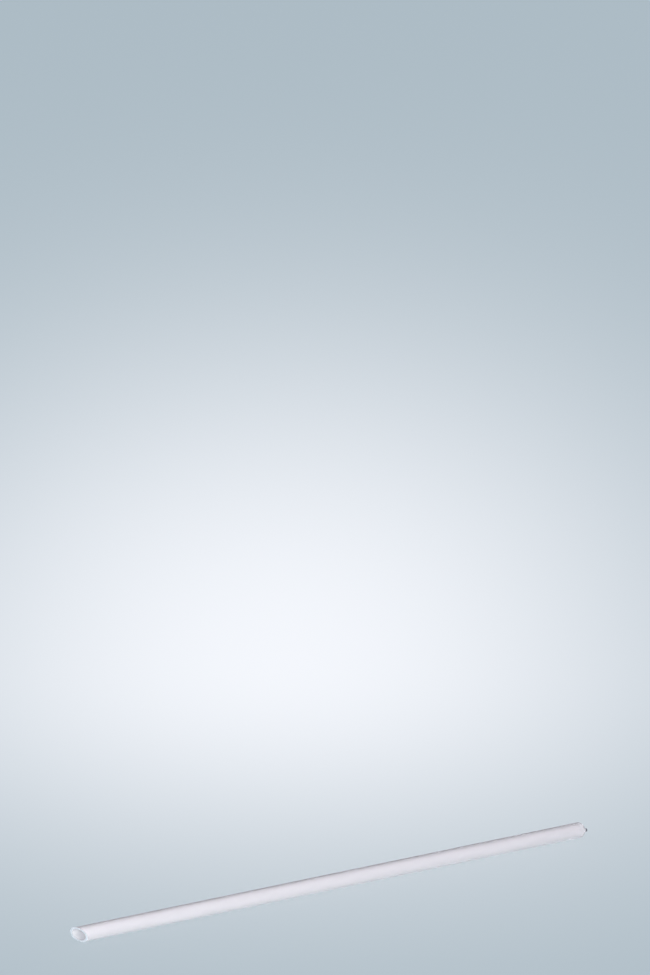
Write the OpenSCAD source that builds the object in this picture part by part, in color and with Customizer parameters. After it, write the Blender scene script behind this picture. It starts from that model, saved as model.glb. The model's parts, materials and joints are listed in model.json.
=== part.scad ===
// Melting-point capillary: one drawn glass tube, lying on its side on the plane z = 0.
// Its snapped open mouth is at -X and its flame-sealed end at +X, and the origin is under its middle.

/* [Tube] */
// Overall length, from the longest point of the mouth's lip to the far end of the seal
tube_length = 120; // [60:1:200]
// Outside diameter
outer_d = 2.35; // [1.8:0.05:4]
// Thickness of the wall
wall = 0.275; // [0.15:0.005:0.4]

/* [Open mouth] */
// Slant of the snapped mouth, away from square to the axis
mouth_slant = 38; // [0:1:42]
// Place of the lip's longest point, turned about the axis from the top towards -Y
mouth_turn = -24; // [-180:1:180]

/* [Sealed end] */
// Roundness of the cap that closes the end, as its radius in outside diameters
cap_curve = 0.53; // [0.51:0.01:0.8]
// Glass between the round bottom of the bore and the cap, along the axis
seal_thickness = 0.7; // [0.4:0.05:1.5]
// Radius of the nib left where the flame drew the glass off
nib_r = 0.29; // [0.15:0.01:0.4]
// Share of the nib's diameter that stands out of the cap
nib_stand = 0.6; // [0.3:0.05:0.8]
// Place of the nib on the cap, from the axis at 0 towards the cap's rim at 1
nib_aside = 0.58; // [0:0.02:0.7]
// Place of the nib round the axis, turned from -Y towards the top
nib_turn = 2; // [0:1:180]

/* [Hidden] */
$fn = 96;

outer_r = outer_d / 2;
bore_r = outer_r - wall;

// The cap is part of a ball round cap_x, and the nib's middle is nib_reach away from there.
cap_r = cap_curve * outer_d;
nib_reach = cap_r + (2 * nib_stand - 1) * nib_r;
nib_angle = nib_aside * asin(outer_r / cap_r);
cap_x = tube_length - max(cap_r, nib_reach * cos(nib_angle) + nib_r);
bore_depth = cap_x + cap_r - seal_thickness;

// The mouth's plane meets the axis this far in from the longest point of the lip, which is at x = 0.
// The blank and then the bore run on past it, and the cut takes all of that off.
mouth_depth = outer_r * tan(mouth_slant);
blank_overrun = outer_d;
bore_overrun = 2 * outer_d;
cutter = 5 * outer_d;

// Round bar along +X from x = start, whose far end is a half ball that reaches x = tip
module round_ended(r, start, tip) {
    rotate([0, 90, 0])
        rotate_extrude() {
            translate([0, start]) square([r, tip - r - start]);
            translate([0, tip - r])
                intersection() {
                    circle(r);
                    translate([0, -r]) square([r, 2 * r]);
                }
        }
}

// Outside of the tube, closed by a round cap that carries the nib
module outside() {
    intersection() {
        translate([-blank_overrun, 0, 0])
            rotate([0, 90, 0])
                cylinder(r = outer_r, h = tube_length + 2 * blank_overrun);
        round_ended(cap_r, -bore_overrun, cap_x + cap_r);
    }
    translate([cap_x, 0, 0])
        rotate([-nib_turn, 0, 0])
            rotate([0, 0, -nib_angle])
                translate([nib_reach, 0, 0])
                    sphere(r = nib_r);
}

// Everything beyond the slanting plane where the tube was scored and snapped
module mouth_cut() {
    translate([mouth_depth, 0, 0])
        rotate([mouth_turn, 0, 0])
            rotate([0, -mouth_slant, 0])
                translate([-cutter, -cutter / 2, -cutter / 2])
                    cube(cutter);
}

module capillary_tube() {
    color("aliceblue", 0.5)
        translate([-tube_length / 2, 0, outer_r])
            difference() {
                outside();
                round_ended(bore_r, -bore_overrun, bore_depth);
                mouth_cut();
            }
}

capillary_tube();
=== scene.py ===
"""Looks of a glass capillary tube: its fine mesh, its glass and a pale studio."""

import json
import logging
import math
from collections.abc import Callable
from dataclasses import dataclass
from enum import Enum

import bpy
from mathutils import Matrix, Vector

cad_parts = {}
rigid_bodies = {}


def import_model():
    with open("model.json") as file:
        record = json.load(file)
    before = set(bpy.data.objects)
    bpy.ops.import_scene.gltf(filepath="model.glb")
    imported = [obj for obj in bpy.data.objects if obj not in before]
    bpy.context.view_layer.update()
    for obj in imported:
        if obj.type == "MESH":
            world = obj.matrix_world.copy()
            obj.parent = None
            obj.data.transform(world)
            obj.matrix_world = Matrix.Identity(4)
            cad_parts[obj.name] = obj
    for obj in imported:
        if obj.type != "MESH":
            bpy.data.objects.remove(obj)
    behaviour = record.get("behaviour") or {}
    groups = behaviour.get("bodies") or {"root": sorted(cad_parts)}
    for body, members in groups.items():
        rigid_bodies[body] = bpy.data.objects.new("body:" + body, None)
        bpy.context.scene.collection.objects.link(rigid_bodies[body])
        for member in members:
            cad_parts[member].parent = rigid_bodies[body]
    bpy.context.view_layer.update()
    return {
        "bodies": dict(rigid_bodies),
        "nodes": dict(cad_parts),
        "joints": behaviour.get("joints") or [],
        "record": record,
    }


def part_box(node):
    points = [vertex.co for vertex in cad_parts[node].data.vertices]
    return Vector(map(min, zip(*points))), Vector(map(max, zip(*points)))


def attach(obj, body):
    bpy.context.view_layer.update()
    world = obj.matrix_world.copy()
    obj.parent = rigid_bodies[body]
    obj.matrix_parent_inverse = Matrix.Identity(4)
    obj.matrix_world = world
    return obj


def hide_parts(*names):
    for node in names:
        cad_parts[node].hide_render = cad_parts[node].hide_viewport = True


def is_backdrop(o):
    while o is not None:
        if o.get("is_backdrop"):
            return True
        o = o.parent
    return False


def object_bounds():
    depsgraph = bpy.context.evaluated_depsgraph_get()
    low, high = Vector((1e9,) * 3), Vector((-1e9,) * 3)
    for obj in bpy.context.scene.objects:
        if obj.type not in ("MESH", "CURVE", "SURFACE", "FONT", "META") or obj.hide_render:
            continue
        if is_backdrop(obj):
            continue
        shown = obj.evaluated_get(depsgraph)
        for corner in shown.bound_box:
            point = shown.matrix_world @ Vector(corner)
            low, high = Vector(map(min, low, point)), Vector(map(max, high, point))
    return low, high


LOG = logging.getLogger("capillary")
NODE = "capillary_tube"
MM = 0.001

Socket = bpy.types.NodeSocket
Fed = Socket | bpy.types.ID | float | str | tuple


class Weight(Enum):
    """How strongly each ring of the tube follows one of its irregular shapes."""

    CAP = "cap"
    SNAP = "snap"
    FACE = "snapped_face"
    SCORE = "score"


@dataclass(frozen=True)
class Ring:
    """One ring of the tube: its place on the turned outline and how far it follows each shape."""

    x: float
    r: float
    cap: float = 0.0
    snap: float = 0.0
    face: float = 0.0
    score: float = 0.0

    def weight(self, kind: Weight) -> float:
        """One of the ring's weights.

        Args:
            kind: Which shape it is for.

        Returns:
            From 0, not at all, to 1, fully.
        """
        return {
            Weight.CAP: self.cap,
            Weight.SNAP: self.snap,
            Weight.FACE: self.face,
            Weight.SCORE: self.score,
        }[kind]


class NodeTree:
    """Adds nodes to a node tree and joins them."""

    def __init__(self, tree: bpy.types.NodeTree) -> None:
        """Keeps the tree.

        Args:
            tree: The node tree to write to.
        """
        self.tree = tree

    def add(self, kind: str, inputs: dict | None = None, **settings: object) -> bpy.types.Node:
        """Adds a node, sets its settings and fills its inputs.

        Args:
            kind: The node's type name.
            inputs: Values or sockets for its inputs, by name or index.
            **settings: The node's own properties.

        Returns:
            The new node.
        """
        node = self.tree.nodes.new(kind)
        for name, value in settings.items():
            setattr(node, name, value)
        for key, value in (inputs or {}).items():
            self.feed(node.inputs[key], value)
        return node

    def feed(self, socket: Socket, value: Fed) -> None:
        """Gives an input its value or its link.

        Args:
            socket: The input.
            value: A number, vector, material or another node's socket.
        """
        if isinstance(value, Socket):
            self.tree.links.new(value, socket)
        else:
            socket.default_value = value

    def maths(self, operation: str, *values: Fed) -> Socket:
        """Adds a Math node.

        Args:
            operation: The node's operation.
            *values: Numbers or sockets, in order.

        Returns:
            The result's socket.
        """
        return self.add("ShaderNodeMath", dict(enumerate(values)), operation=operation).outputs[0]

    def vectors(self, operation: str, *values: Fed, result: str = "Vector") -> Socket:
        """Adds a Vector Math node.

        Args:
            operation: The node's operation.
            *values: Vectors or sockets, in order.
            result: Which of its results to take.

        Returns:
            The result's socket.
        """
        node = self.add("ShaderNodeVectorMath", dict(enumerate(values)), operation=operation)
        return node.outputs[result]

    def vector(self, x: Fed, y: Fed, z: Fed) -> Socket:
        """Joins three numbers or sockets into a vector.

        Args:
            x: First component.
            y: Second component.
            z: Third component.

        Returns:
            The vector's socket.
        """
        return self.add("ShaderNodeCombineXYZ", {0: x, 1: y, 2: z}).outputs[0]


@dataclass(frozen=True)
class TubeOutline:
    """The outline that the tube is turned from, in metres, with x = 0 at the mouth's longest lip."""

    length: float
    outer_r: float
    bore_r: float
    mouth_slope: float = math.tan(math.radians(38))
    snap_reach: float = 4 * MM
    lip_r: float = 0.03 * MM
    cap_r: float = 1.2455 * MM
    shoulder_r: float = 0.2 * MM
    nib_r: float = 0.29 * MM
    nib_stand: float = 0.6
    nib_angle: float = math.radians(41)
    seal_thickness: float = 0.7 * MM
    wall_step: float = 1.5 * MM
    cap_steps: int = 64
    shoulder_steps: int = 10
    end_steps: int = 16
    edge_steps: int = 4
    face_steps: int = 6
    bottom_steps: int = 24

    @property
    def mouth_depth(self) -> float:
        """Where the mouth's slanting plane meets the axis, behind its longest lip."""
        return self.outer_r * self.mouth_slope

    @property
    def nib_reach(self) -> float:
        """From the middle of the cap's ball to the nib's middle."""
        return self.cap_r + (2 * self.nib_stand - 1) * self.nib_r

    @property
    def cap_x(self) -> float:
        """The middle of the ball that the cap is part of."""
        furthest = self.nib_reach * math.cos(self.nib_angle) + self.nib_r
        return self.length - max(self.cap_r, furthest)

    def seal_rings(self) -> list[Ring]:
        """Rings from the middle of the cap over its rounded shoulder.

        Returns:
            The rings, outwards from the axis.
        """
        inner = self.cap_r - self.shoulder_r
        turn = math.asin((self.outer_r - self.shoulder_r) / inner)
        centre = self.cap_x + inner * math.cos(turn)
        found = []
        for i in range(self.cap_steps):
            a = turn * i / self.cap_steps
            found.append(Ring(self.cap_x + self.cap_r * math.cos(a), self.cap_r * math.sin(a), cap=1))
        for i in range(self.shoulder_steps + 1):
            a = turn + (math.pi / 2 - turn) * i / self.shoulder_steps
            x = centre + self.shoulder_r * math.cos(a)
            r = self.outer_r - self.shoulder_r + self.shoulder_r * math.sin(a)
            found.append(Ring(x, r, cap=1))
        return found

    def stations(self, start: float, end: float) -> list[float]:
        """Places along a straight wall, closer together where an end's shape fades out.

        Args:
            start: First place.
            end: Last place.

        Returns:
            The places, with both ends.
        """
        reach, low, high, steps = self.snap_reach, min(start, end), max(start, end), self.end_steps
        near = [low + reach * i / steps for i in range(steps)]
        count = round((high - low - 2 * reach) / self.wall_step)
        middle = [low + reach + (high - low - 2 * reach) * i / count for i in range(count)]
        far = [high - reach * i / steps for i in range(steps, -1, -1)]
        found = near + middle + far
        return found if start < end else found[::-1]

    def fade(self, x: float, end: float) -> float:
        """How far a ring follows the shape of an end of the tube.

        Args:
            x: The ring's place.
            end: Where that end's shape is full.

        Returns:
            From 1 there to 0 at the shape's reach.
        """
        return max(0.0, 1 - abs(x - end) / self.snap_reach)

    def wall_rings(self, seal: Ring) -> list[Ring]:
        """Rings of the outer wall, from the shoulder to the lip.

        Args:
            seal: The last ring of the shoulder.

        Returns:
            The rings.
        """
        lip = self.mouth_depth + self.lip_r
        places = self.stations(seal.x, lip)[1:-1]
        return [Ring(x, self.outer_r, snap=self.fade(x, lip)) for x in places]

    def lip_rings(self) -> list[Ring]:
        """Rings of the snapped face, with its two narrow edges.

        Returns:
            The rings, from the outer wall to the bore.
        """
        x, edge, found = self.mouth_depth + self.lip_r, self.lip_r, []
        for share in [i / self.edge_steps for i in range(self.edge_steps + 1)]:
            a = math.pi / 2 * share
            r = self.outer_r - edge + edge * math.cos(a)
            found.append(Ring(x - edge * math.sin(a), r, snap=1, face=share, score=1))
        span = self.outer_r - self.bore_r - 2 * edge
        for share in [i / self.face_steps for i in range(1, self.face_steps)]:
            r = self.outer_r - edge - span * share
            found.append(Ring(self.mouth_depth, r, snap=1, face=1, score=1 - share))
        for share in [i / self.edge_steps for i in range(self.edge_steps + 1)]:
            a = math.pi / 2 * share
            r = self.bore_r + edge - edge * math.sin(a)
            found.append(Ring(x - edge * math.cos(a), r, snap=1, face=1 - share))
        return found

    def bore_rings(self) -> list[Ring]:
        """Rings of the bore and its round bottom.

        Returns:
            The rings, from the lip to the axis.
        """
        lip = self.mouth_depth + self.lip_r
        bottom = self.cap_x + self.cap_r - self.seal_thickness - self.bore_r
        places = self.stations(lip, bottom)[1:-1]
        found = [Ring(x, self.bore_r, snap=self.fade(x, lip)) for x in places]
        for i in range(self.bottom_steps):
            a = math.pi / 2 * i / self.bottom_steps
            found.append(Ring(bottom + self.bore_r * math.sin(a), self.bore_r * math.cos(a)))
        return found + [Ring(bottom + self.bore_r, 0.0)]

    def rings(self) -> list[Ring]:
        """The whole outline, from the tip of the nib to the bottom of the bore.

        Returns:
            The rings in order.
        """
        seal = self.seal_rings()
        return seal + self.wall_rings(seal[-1]) + self.lip_rings() + self.bore_rings()


class Lathe:
    """A Geometry Nodes tree that turns an outline into the tube and gives its ends their shapes."""

    NIB = "nib"
    NUMBERS = ("Mouth Slope", "Mouth Turn", "Nib Radius", "Nib Blend", "Chip Depth", "Score Depth")
    CHIP_SCALE = 3.4
    CHIP_SEED = 0.37
    CHIP_FLOOR = 0.42
    SCORE_PLACE = 4.1
    SCORE_SHARPNESS = -55.0
    NECK_SLOPE = 1.5
    WELD = 2e-8

    def __init__(self) -> None:
        """Builds the tree."""
        self.group = bpy.data.node_groups.new("turn_and_snap_glass", "GeometryNodeTree")
        self.sockets: dict[str, str] = {}
        self._open("Outline", "NodeSocketGeometry")
        self._open("Segments", "NodeSocketInt")
        for name in self.NUMBERS:
            self._open(name, "NodeSocketFloat")
        for name in ("Base", "Cap Centre", "Nib Centre"):
            self._open(name, "NodeSocketVector")
        self._open("Glass", "NodeSocketMaterial")
        self._open("Snapped Glass", "NodeSocketMaterial")
        self.group.interface.new_socket("Tube", in_out="OUTPUT", socket_type="NodeSocketGeometry")
        self.nodes = NodeTree(self.group)
        self.given = self.nodes.add("NodeGroupInput").outputs
        self._build()

    def _open(self, name: str, kind: str) -> None:
        """Adds a named input and keeps its identifier.

        Args:
            name: The input's name.
            kind: The socket's type.
        """
        socket = self.group.interface.new_socket(name, in_out="INPUT", socket_type=kind)
        self.sockets[name] = socket.identifier

    def _row_value(self, row: Socket, value: Socket, kind: str) -> Socket:
        """Reads a value of the outline at one of its points.

        Args:
            row: The point's number.
            value: The socket with the value.
            kind: FLOAT or FLOAT_VECTOR.

        Returns:
            The value there.
        """
        sample = self.nodes.add(
            "GeometryNodeSampleIndex",
            {"Geometry": self.given["Outline"]},
            data_type=kind,
            domain="POINT",
        )
        self.nodes.feed(sample.inputs["Value"], value)
        self.nodes.feed(sample.inputs["Index"], row)
        return sample.outputs["Value"]

    def _weight(self, row: Socket, kind: Weight) -> Socket:
        """Reads one of the outline's weights.

        Args:
            row: The point's number.
            kind: Which weight.

        Returns:
            The weight there.
        """
        named = self.nodes.add("GeometryNodeInputNamedAttribute", {"Name": kind.value}, data_type="FLOAT")
        return self._row_value(row, named.outputs["Attribute"], "FLOAT")

    def _store(self, mesh: Socket, name: str, value: Socket) -> Socket:
        """Keeps a mask on the mesh.

        Args:
            mesh: The mesh's socket.
            name: The mask's name.
            value: The mask's socket.

        Returns:
            The mesh with the mask.
        """
        node = self.nodes.add("GeometryNodeStoreNamedAttribute", data_type="FLOAT", domain="POINT")
        for key, fed in (("Geometry", mesh), ("Name", name), ("Value", value)):
            self.nodes.feed(node.inputs[key], fed)
        return node.outputs[0]

    def _mouth_shift(self, row: Socket, angle: Socket, y: Socket, z: Socket) -> Socket:
        """How far the snapped mouth moves a point along the tube: its slant, its chips and its score.

        Args:
            row: The ring's number.
            angle: The point's place round the tube.
            y: Its second coordinate from the axis.
            z: Its third.

        Returns:
            The distance.
        """
        m, g = self.nodes.maths, self.given
        long_y = m("MULTIPLY", m("SINE", g["Mouth Turn"]), -1.0)
        long_z = m("COSINE", g["Mouth Turn"])
        out = m("ADD", m("MULTIPLY", y, long_y), m("MULTIPLY", z, long_z))
        slant = m("MULTIPLY", m("MULTIPLY", out, g["Mouth Slope"]), -1.0)
        around = self.nodes.vector(m("COSINE", angle), m("SINE", angle), self.CHIP_SEED)
        chips = self.nodes.add(
            "ShaderNodeTexNoise",
            {"Vector": around, "Scale": self.CHIP_SCALE, "Detail": 3.0, "Roughness": 0.6},
            noise_dimensions="3D",
        )
        bite = m("MAXIMUM", m("SUBTRACT", chips.outputs[0], self.CHIP_FLOOR), 0.0)
        chip = m("MULTIPLY", bite, g["Chip Depth"])
        off = m("SUBTRACT", angle, self.SCORE_PLACE)
        notch = m("EXPONENT", m("MULTIPLY", m("MULTIPLY", off, off), self.SCORE_SHARPNESS))
        scored = m("MULTIPLY", m("MULTIPLY", notch, g["Score Depth"]), self._weight(row, Weight.SCORE))
        snapped = m("ADD", slant, chip)
        return m("ADD", m("MULTIPLY", snapped, self._weight(row, Weight.SNAP)), scored)

    def _with_nib(self, row: Socket, place: Socket) -> tuple[Socket, Socket]:
        """Pushes the cap out to the ball of the nib, with a soft neck round it.

        Args:
            row: The ring's number.
            place: The point before the nib.

        Returns:
            The point with the nib, and how far it was pushed in radii of the nib.
        """
        n, m, g = self.nodes, self.nodes.maths, self.given
        ray = n.vectors("SUBTRACT", place, g["Cap Centre"])
        reach = n.vectors("LENGTH", ray, result="Value")
        way = n.vectors("NORMALIZE", ray)
        to_nib = n.vectors("SUBTRACT", g["Nib Centre"], g["Cap Centre"])
        along = n.vectors("DOT_PRODUCT", way, to_nib, result="Value")
        apart = n.vectors("DOT_PRODUCT", to_nib, to_nib, result="Value")
        missed = m("SUBTRACT", apart, m("MULTIPLY", along, along))
        half = m("SUBTRACT", m("MULTIPLY", g["Nib Radius"], g["Nib Radius"]), missed)
        front = m("ADD", along, m("SQRT", m("MAXIMUM", half, 0.0)))
        outside = m("SQRT", m("MAXIMUM", m("MULTIPLY", half, -1.0), 0.0))
        beside = m("MULTIPLY", outside, self.NECK_SLOPE)
        out = m("SMOOTH_MAX", reach, m("SUBTRACT", front, beside), g["Nib Blend"])
        grown = m("MULTIPLY", m("SUBTRACT", out, reach), self._weight(row, Weight.CAP))
        push = n.add("ShaderNodeVectorMath", {0: way}, operation="SCALE")
        n.feed(push.inputs["Scale"], grown)
        return n.vectors("ADD", place, push.outputs[0]), m("DIVIDE", grown, g["Nib Radius"])

    def _build(self) -> None:
        """Writes the tree's nodes."""
        n, m, g = self.nodes, self.nodes.maths, self.given
        count = n.add("GeometryNodeAttributeDomainSize", {"Geometry": g["Outline"]}, component="MESH")
        rows = count.outputs["Point Count"]
        columns = m("ADD", g["Segments"], 1.0)
        grid = n.add("GeometryNodeMeshGrid", {"Vertices X": columns, "Vertices Y": rows})
        index = n.add("GeometryNodeInputIndex").outputs[0]
        row = m("MODULO", index, rows)
        column = m("FLOOR", m("DIVIDE", m("ADD", index, 0.5), rows))
        turns = m("DIVIDE", column, g["Segments"])
        angle = m("MULTIPLY", turns, math.tau)
        place = self._row_value(row, n.add("GeometryNodeInputPosition").outputs[0], "FLOAT_VECTOR")
        split = n.add("ShaderNodeSeparateXYZ", {0: place})
        along, radius = split.outputs[0], split.outputs[1]
        y = m("MULTIPLY", radius, m("SINE", angle))
        z = m("MULTIPLY", radius, m("COSINE", angle))
        turned = n.vector(m("ADD", along, self._mouth_shift(row, angle, y, z)), y, z)
        with_nib, pushed = self._with_nib(row, turned)
        moved = n.vectors("ADD", with_nib, g["Base"])
        faced = self._store(grid.outputs["Mesh"], Weight.FACE.value, self._weight(row, Weight.FACE))
        tube = self._store(faced, self.NIB, pushed)
        shaped = n.add("GeometryNodeSetPosition", {"Geometry": tube, "Position": moved})
        closed = n.add("GeometryNodeMergeByDistance", {"Geometry": shaped.outputs[0], "Distance": self.WELD})
        smooth = n.add("GeometryNodeSetShadeSmooth", {"Geometry": closed.outputs[0], "Shade Smooth": True})
        real = n.add("GeometryNodeRealizeInstances", {"Geometry": smooth.outputs[0]})
        clear = n.add("GeometryNodeSetMaterial", {"Geometry": real.outputs[0], "Material": g["Glass"]})
        face = n.add("GeometryNodeInputNamedAttribute", {"Name": Weight.FACE.value}, data_type="FLOAT")
        snapped = m("GREATER_THAN", face.outputs["Attribute"], 0.5)
        both = n.add("GeometryNodeSetMaterial", {"Geometry": clear.outputs[0]})
        n.feed(both.inputs["Material"], g["Snapped Glass"])
        n.feed(both.inputs["Selection"], snapped)
        n.add("NodeGroupOutput", {"Tube": both.outputs[0]})

    def turn(self, outline: bpy.types.Object, values: dict) -> bpy.types.Mesh:
        """Runs the tree on an outline.

        Args:
            outline: The object whose mesh is the outline.
            values: The tree's inputs, by name.

        Returns:
            The turned mesh, plain and on its own.
        """
        modifier = outline.modifiers.new("turned", "NODES")
        modifier.node_group = self.group
        for name, value in values.items():
            modifier[self.sockets[name]] = value
        depsgraph = bpy.context.evaluated_depsgraph_get()
        mesh = bpy.data.meshes.new_from_object(
            outline.evaluated_get(depsgraph), preserve_all_data_layers=True, depsgraph=depsgraph
        )
        outline.modifiers.remove(modifier)
        return mesh


class GlassEffects:
    """Shader node groups that both finishes of the glass use."""

    def __init__(self) -> None:
        """Builds the groups."""
        self.lines = self._group("drawing_lines", "Lines", self._write_lines)
        self.haze = self._group("fine_haze", "Haze", self._write_haze)

    def _group(self, name: str, result: str, write: Callable) -> bpy.types.ShaderNodeTree:
        """Starts a group with a vector, a scale and one result.

        Args:
            name: The group's name.
            result: The name of what it puts out.
            write: Writes its nodes and returns the result's socket.

        Returns:
            The group.
        """
        group = bpy.data.node_groups.new(name, "ShaderNodeTree")
        group.interface.new_socket("Vector", in_out="INPUT", socket_type="NodeSocketVector")
        group.interface.new_socket("Scale", in_out="INPUT", socket_type="NodeSocketFloat")
        group.interface.new_socket(result, in_out="OUTPUT", socket_type="NodeSocketFloat")
        nodes = NodeTree(group)
        given = nodes.add("NodeGroupInput").outputs
        value = write(nodes, given["Vector"], given["Scale"])
        nodes.add("NodeGroupOutput", {result: value})
        return group

    def _write_lines(self, nodes: NodeTree, place: Socket, scale: Socket) -> Socket:
        """Long faint lines that drawing leaves along the tube, broad ones over fine ones.

        Args:
            nodes: The group's nodes.
            place: Where to read them.
            scale: How many there are.

        Returns:
            A mask from 0 to 1.
        """
        found = []
        for across, along in ((1.0, 0.004), (3.1, 0.012)):
            stretch = {"Vector": place, "Scale": (along, across, across)}
            stretched = nodes.add("ShaderNodeMapping", stretch).outputs[0]
            grain = {"Vector": stretched, "Scale": scale, "Detail": 2.0}
            found.append(nodes.add("ShaderNodeTexNoise", grain).outputs[0])
        fine = nodes.maths("MULTIPLY", found[1], 0.4)
        return nodes.maths("ADD", nodes.maths("MULTIPLY", found[0], 0.6), fine)

    def _write_haze(self, nodes: NodeTree, place: Socket, scale: Socket) -> Socket:
        """Patches of faint haze, as dust and handling leave.

        Args:
            nodes: The group's nodes.
            place: Where to read them.
            scale: How small the patches are.

        Returns:
            A mask from 0 to 1.
        """
        patches = {"Vector": place, "Scale": scale, "Detail": 5.0, "Roughness": 0.65}
        noise = nodes.add("ShaderNodeTexNoise", patches)
        ranged = nodes.add("ShaderNodeMapRange", {0: noise.outputs[0], 1: 0.35, 2: 0.7})
        return ranged.outputs[0]


@dataclass(frozen=True)
class DrawnGlass:
    """Clear glass with a trace of haze and faint lines from drawing."""

    effects: GlassEffects
    name: str = "drawn_glass"
    clear: tuple[float, float, float] = (1.0, 0.98, 0.99)
    dull: tuple[float, float, float] = (0.97, 0.945, 0.96)
    transmission: float = 0.68
    ior: float = 1.473
    roughness: float = 0.02
    haze_roughness: float = 0.05
    lines_scale: float = 1500.0
    haze_scale: float = 260.0
    hackle_scale: float = 7000.0
    relief: float = 0.35
    relief_depth: float = 0.004 * MM
    hackle: float = 0.0
    nib_dark: tuple[float, float, float] = (0.16, 0.16, 0.19)
    nib_dark_from: float = 0.1
    nib_dark_full: float = 0.7

    def build(self) -> bpy.types.Material:
        """Makes the material.

        Returns:
            The glass.
        """
        material = bpy.data.materials.new(self.name)
        material.use_nodes = True
        nodes = NodeTree(material.node_tree)
        shader = material.node_tree.nodes["Principled BSDF"]
        shader.inputs["Transmission Weight"].default_value = self.transmission
        shader.inputs["IOR"].default_value = self.ior
        place = nodes.add("ShaderNodeTexCoord").outputs["Object"]
        lines = self._mask(nodes, self.effects.lines, place, self.lines_scale)
        haze = self._mask(nodes, self.effects.haze, place, self.haze_scale)
        nodes.feed(shader.inputs["Base Color"], self._colour(nodes, lines))
        dulled = nodes.maths("MULTIPLY", haze, self.haze_roughness)
        nodes.feed(shader.inputs["Roughness"], nodes.maths("ADD", dulled, self.roughness))
        nodes.feed(shader.inputs["Normal"], self._relief(nodes, place, lines))
        return material

    def _mask(self, nodes: NodeTree, group: bpy.types.ID, place: Socket, scale: float) -> Socket:
        """Places one of the shared effects.

        Args:
            nodes: The material's nodes.
            group: The effect's group.
            place: Object coordinates.
            scale: The effect's scale.

        Returns:
            Its mask.
        """
        node = nodes.add("ShaderNodeGroup", node_tree=group)
        nodes.feed(node.inputs["Vector"], place)
        nodes.feed(node.inputs["Scale"], scale)
        return node.outputs[0]

    def _colour(self, nodes: NodeTree, lines: Socket) -> Socket:
        """The glass's tint, a trace deeper along the lines and darker at the nib.

        Args:
            nodes: The material's nodes.
            lines: The lines' mask.

        Returns:
            The colour.
        """
        mix = nodes.add("ShaderNodeMix", {0: lines}, data_type="RGBA")
        mix.inputs[6].default_value = (*self.clear, 1)
        mix.inputs[7].default_value = (*self.dull, 1)
        # A dark tint at the nib, fading in as the nib grows out of the cap.
        nib = nodes.add("ShaderNodeAttribute", attribute_name=Lathe.NIB).outputs["Fac"]
        darkened = nodes.add("ShaderNodeMapRange", {0: nib, 1: self.nib_dark_from, 2: self.nib_dark_full})
        tip = nodes.add("ShaderNodeMix", {0: darkened.outputs[0]}, data_type="RGBA")
        nodes.feed(tip.inputs[6], mix.outputs[2])
        tip.inputs[7].default_value = (*self.nib_dark, 1)
        return tip.outputs[2]

    def _relief(self, nodes: NodeTree, place: Socket, lines: Socket) -> Socket:
        """The lines in relief, with hackle where the glass was snapped.

        Args:
            nodes: The material's nodes.
            place: Object coordinates.
            lines: The lines' mask.

        Returns:
            The normal.
        """
        height = lines
        if self.hackle:
            grain = {"Vector": place, "Scale": self.hackle_scale, "Detail": 3.0}
            rough = nodes.add("ShaderNodeTexNoise", grain)
            height = nodes.maths("MULTIPLY", rough.outputs[0], self.hackle)
        bump = nodes.add("ShaderNodeBump", {"Strength": self.relief, "Distance": self.relief_depth})
        nodes.feed(bump.inputs["Height"], height)
        return bump.outputs[0]


@dataclass(frozen=True)
class SnappedGlass(DrawnGlass):
    """The bright, fine-grained face that snapping leaves round the mouth."""

    name: str = "snapped_glass"
    clear: tuple[float, float, float] = (0.65, 0.70, 0.74)
    dull: tuple[float, float, float] = (0.57, 0.63, 0.68)
    transmission: float = 0.35
    roughness: float = 0.3
    haze_roughness: float = 0.25
    relief: float = 0.6
    relief_depth: float = 0.02 * MM
    hackle: float = 1.0


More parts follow.
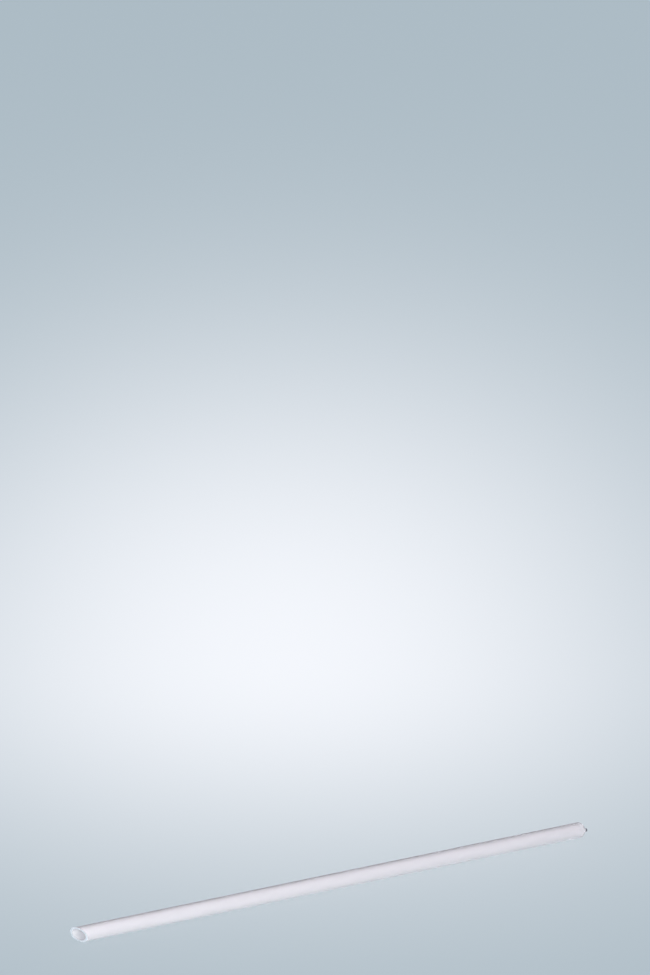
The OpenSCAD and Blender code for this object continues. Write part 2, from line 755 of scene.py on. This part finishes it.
@dataclass
class CapillaryTube:
    """The tube itself: one piece of glass from its snapped mouth to its sealed end."""

    outline: TubeOutline
    base: Vector
    segments: int = 160
    mouth_turn: float = -24.0
    nib_turn: float = 2.0
    nib_blend: float = 0.06 * MM
    chip_depth: float = 0.22 * MM
    score_depth: float = 0.08 * MM

    @classmethod
    def from_frame(cls, frame: dict) -> "CapillaryTube":
        """Takes the tube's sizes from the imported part.

        Args:
            frame: What loading the frame returned.

        Returns:
            The tube.
        """
        low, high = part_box(NODE)
        bore = next(m for m in frame["record"]["mounts"] if m["name"] == "bore")
        pin = next(m for m in frame["record"]["mounts"] if m["name"] == "outside")
        outer_r = pin["dims"]["r_mm"] * MM
        outline = TubeOutline(high.x - low.x, outer_r, bore["dims"]["r_mm"] * MM)
        return cls(outline, Vector((low.x, 0.0, outer_r)))

    @property
    def nib_centre(self) -> Vector:
        """The nib's middle, from the base of the outline."""
        line, turn = self.outline, math.radians(self.nib_turn)
        aside = line.nib_reach * math.sin(line.nib_angle)
        along = line.cap_x + line.nib_reach * math.cos(line.nib_angle)
        return Vector((along, -aside * math.cos(turn), aside * math.sin(turn)))

    def build(self, glass: bpy.types.Material, snapped: bpy.types.Material) -> bpy.types.Object:
        """Turns the outline, shapes both ends and puts the tube in place of the plain one.

        Args:
            glass: The material of its walls.
            snapped: The material of the mouth's face.

        Returns:
            The tube's object.
        """
        mesh = Lathe().turn(
            self._outline_object(),
            {
                "Segments": self.segments,
                "Mouth Slope": self.outline.mouth_slope,
                "Mouth Turn": math.radians(self.mouth_turn),
                "Nib Radius": self.outline.nib_r,
                "Nib Blend": self.nib_blend,
                "Cap Centre": (self.outline.cap_x, 0.0, 0.0),
                "Nib Centre": tuple(self.nib_centre),
                "Chip Depth": self.chip_depth,
                "Score Depth": self.score_depth,
                "Base": tuple(self.base),
                "Glass": glass,
                "Snapped Glass": snapped,
            },
        )
        mesh.name = "drawn_capillary"
        tube = bpy.data.objects.new("drawn_capillary", mesh)
        bpy.context.scene.collection.objects.link(tube)
        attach(tube, "root")
        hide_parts(NODE)
        return tube

    def _outline_object(self) -> bpy.types.Object:
        """An object whose mesh holds the outline's points and their weights.

        Returns:
            The object; it isn't linked to the scene's view.
        """
        rings = self.outline.rings()
        mesh = bpy.data.meshes.new("outline")
        edges = [(i, i + 1) for i in range(len(rings) - 1)]
        mesh.from_pydata([(ring.x, ring.r, 0.0) for ring in rings], edges, [])
        for kind in Weight:
            values = mesh.attributes.new(kind.value, "FLOAT", "POINT")
            values.data.foreach_set("value", [ring.weight(kind) for ring in rings])
        outline = bpy.data.objects.new("outline", mesh)
        bpy.context.scene.collection.objects.link(outline)
        return outline


@dataclass(frozen=True)
class SoftBox:
    """A soft lamp close to the tube, out of the camera's sight."""

    name: str
    place: tuple[float, float, float]
    wide: float
    high: float
    power: float
    tone: tuple[float, float, float] = (1.0, 0.99, 1.0)

    def build(self) -> bpy.types.Object:
        """Hangs the lamp and points it at the tube.

        Returns:
            The lamp.
        """
        light = bpy.data.lights.new(self.name, "AREA")
        light.shape = "RECTANGLE"
        light.size, light.size_y = self.wide, self.high
        light.energy = self.power
        light.color = self.tone
        lamp = bpy.data.objects.new(self.name, light)
        lamp.location = self.place
        lamp.rotation_euler = (-Vector(self.place)).to_track_quat("-Z", "Y").to_euler()
        lamp.visible_camera = False
        bpy.context.scene.collection.objects.link(lamp)
        return lamp


@dataclass
class Studio:
    """A pale floor, soft light from a bright dome and the camera.

    Drop and right are how far from the view's middle the tube lies, in heights of the view. The board is the
    floor, which glows with painted light, and its painted reflection share is the share of the dome that it
    mirrors at a low angle, painted into the world below the horizon.
    """

    azimuth: float = 52.369
    elevation: float = 9.284
    lens: float = 750.0
    view_height: float = 0.1409
    drop: float = 0.40424
    right: float = 0.00761
    floor_r: float = 14.0
    board: tuple[float, float, float] = (0.05, 0.055, 0.06)
    # Painted light: the floor glows brightest in a painted pool of light behind the tube and greyer away
    # from it.
    painted_pool_light: tuple[float, float, float] = (0.85, 0.87, 0.91)
    painted_floor_light: tuple[float, float, float] = (0.36, 0.44, 0.49)
    board_glow: float = 1.0
    board_roughness: float = 0.7
    board_gloss: float = 0.1
    painted_reflection_share: float = 0.055
    # Where the painted pool of light lies on the floor and how far it spreads.
    painted_pool_away: float = 0.22
    painted_pool_side: float = -0.008
    painted_pool_before: float = 0.145
    painted_pool_behind: float = 0.265
    painted_pool_wide: float = 0.05
    dome: tuple[float, float, float] = (0.86, 0.85, 0.92)
    card: tuple[float, float, float] = (0.20, 0.22, 0.24)
    card_elevation: float = 6.0
    card_edge: float = 0.68
    card_full: float = 0.92
    boxes: tuple[SoftBox, ...] = (
        SoftBox("near_side_box", (-0.12, -0.20, -0.045), 0.22, 0.05, 0.45),
        SoftBox("mouth_box", (-0.26, -0.05, 0.03), 0.10, 0.05, 0.25),
    )

    def build(self, glass: bpy.types.Object) -> None:
        """Builds the floor, the light and the camera.

        Args:
            glass: The tube, which alone the soft boxes light.
        """
        self.add_floor()
        self.add_world()
        self.add_lights(glass)
        self.add_camera()
        bpy.context.scene.view_settings.view_transform = "Standard"

    def add_floor(self) -> None:
        """A wide round floor that glows with painted light, falling off softly from behind the tube."""
        bpy.ops.mesh.primitive_circle_add(vertices=96, radius=self.floor_r, fill_type="NGON")
        floor = bpy.context.object
        floor.name = "floor"
        floor.data.materials.append(self._floor_material())
        floor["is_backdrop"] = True

    def _floor_material(self) -> bpy.types.Material:
        """A pale board that glows with painted light: brightest in a soft painted pool of light behind the
        tube and greyer away from it.

        Returns:
            The material.
        """
        material = bpy.data.materials.new("pale_board_painted_light")
        material.use_nodes = True
        nodes = NodeTree(material.node_tree)
        shader = material.node_tree.nodes["Principled BSDF"]
        shader.inputs["Roughness"].default_value = self.board_roughness
        shader.inputs["Specular IOR Level"].default_value = self.board_gloss
        turn = math.radians(self.azimuth)
        place = nodes.add("ShaderNodeTexCoord").outputs["Object"]
        split = nodes.add("ShaderNodeSeparateXYZ", {0: place})
        m = nodes.maths
        x, y = split.outputs[0], split.outputs[1]
        away = m("ADD", m("MULTIPLY", x, math.sin(turn)), m("MULTIPLY", y, math.cos(turn)))
        side = m("SUBTRACT", m("MULTIPLY", x, math.cos(turn)), m("MULTIPLY", y, math.sin(turn)))
        far = m("SUBTRACT", away, self.painted_pool_away)
        u = m("MAXIMUM", m("DIVIDE", far, self.painted_pool_behind), m("DIVIDE", far, -self.painted_pool_before))
        v = m("DIVIDE", m("SUBTRACT", side, self.painted_pool_side), self.painted_pool_wide)
        spread = m("ADD", m("MULTIPLY", u, u), m("MULTIPLY", v, v))
        pool = m("EXPONENT", m("MULTIPLY", spread, -0.5))
        # Painted pool of light: the glow mixes from the greyer painted light to the bright painted pool.
        mix = nodes.add("ShaderNodeMix", {0: pool}, data_type="RGBA")
        mix.inputs[6].default_value = (*self.painted_floor_light, 1)
        mix.inputs[7].default_value = (*self.painted_pool_light, 1)
        # The painted light goes into the floor's emission, so the floor glows though it is no lamp.
        nodes.feed(shader.inputs["Emission Color"], mix.outputs[2])
        shader.inputs["Base Color"].default_value = (*self.board, 1)
        shader.inputs["Emission Strength"].default_value = self.board_glow
        return material

    def add_world(self) -> None:
        """A soft white dome with a grey card behind the tube, and below the horizon the board's painted glow
        and its tone under the dome, with a painted reflection of the dome.
        """
        world = bpy.data.worlds.new("dome")
        bpy.context.scene.world = world
        world.use_nodes = True
        nodes = NodeTree(world.node_tree)
        background = world.node_tree.nodes["Background"]
        towards = nodes.add("ShaderNodeTexCoord").outputs["Generated"]
        turn, up = math.radians(self.azimuth), math.radians(self.card_elevation)
        middle = (math.sin(turn) * math.cos(up), math.cos(turn) * math.cos(up), math.sin(up))
        facing = nodes.add("ShaderNodeVectorMath", {0: towards, 1: middle}, operation="DOT_PRODUCT")
        card = nodes.add(
            "ShaderNodeMapRange", {0: facing.outputs["Value"], 1: self.card_edge, 2: self.card_full}
        )
        card.interpolation_type = "SMOOTHSTEP"
        mix = nodes.add("ShaderNodeMix", {0: card.outputs[0]}, data_type="RGBA")
        mix.inputs[6].default_value = (*self.dome, 1)
        mix.inputs[7].default_value = (*self.card, 1)
        height = nodes.add("ShaderNodeSeparateXYZ", {0: towards}).outputs[2]
        below = nodes.add("ShaderNodeMix", {0: nodes.maths("LESS_THAN", height, 0.0)}, data_type="RGBA")
        nodes.feed(below.inputs[6], mix.outputs[2])
        # Below the horizon the world is painted with the floor's painted light, its tone under the dome and
        # a painted reflection of the dome.
        tones = zip(self.painted_floor_light, self.board, self.dome)
        level = [far + (own + self.painted_reflection_share) * light for far, own, light in tones]
        below.inputs[7].default_value = (*level, 1)
        nodes.feed(background.inputs[0], below.outputs[2])
        background.inputs[1].default_value = 1.0

    def add_lights(self, glass: bpy.types.Object) -> None:
        """The soft boxes, which neither light the floor nor are hidden by it.

        Args:
            glass: The object that they light.
        """
        lit = bpy.data.collections.new("lit_by_boxes")
        lit.objects.link(glass)
        for box in self.boxes:
            linking = box.build().light_linking
            linking.receiver_collection = linking.blocker_collection = lit

    def add_camera(self) -> None:
        """A long lens at the tube's level view, aimed above it."""
        low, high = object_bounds()
        target = (Vector(low) + Vector(high)) / 2
        turn, up = math.radians(self.azimuth), math.radians(self.elevation)
        forward = Vector((math.sin(turn) * math.cos(up), math.cos(turn) * math.cos(up), -math.sin(up)))
        side = Vector((math.cos(turn), -math.sin(turn), 0.0))
        above = side.cross(forward)
        data = bpy.data.cameras.new("camera")
        data.lens = self.lens
        distance = self.view_height * self.lens / data.sensor_width
        camera = bpy.data.objects.new("camera", data)
        camera.location = target - forward * distance
        aside = (above * self.drop - side * self.right) * self.view_height
        aim = forward * distance + aside
        camera.rotation_euler = aim.to_track_quat("-Z", "Y").to_euler()
        data.clip_start, data.clip_end = 0.1, 100.0
        bpy.context.scene.collection.objects.link(camera)
        bpy.context.scene.camera = camera


def main() -> None:
    """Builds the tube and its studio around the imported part."""
    logging.basicConfig(level=logging.INFO, format="%(message)s")
    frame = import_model()
    effects = GlassEffects()
    glass, snapped = DrawnGlass(effects).build(), SnappedGlass(effects).build()
    tube = CapillaryTube.from_frame(frame).build(glass, snapped)
    bpy.data.objects.remove(bpy.data.objects["outline"])
    LOG.info("%s: %d faces", tube.name, len(tube.data.polygons))
    Studio().build(tube)


if __name__ == "__main__":
    main()
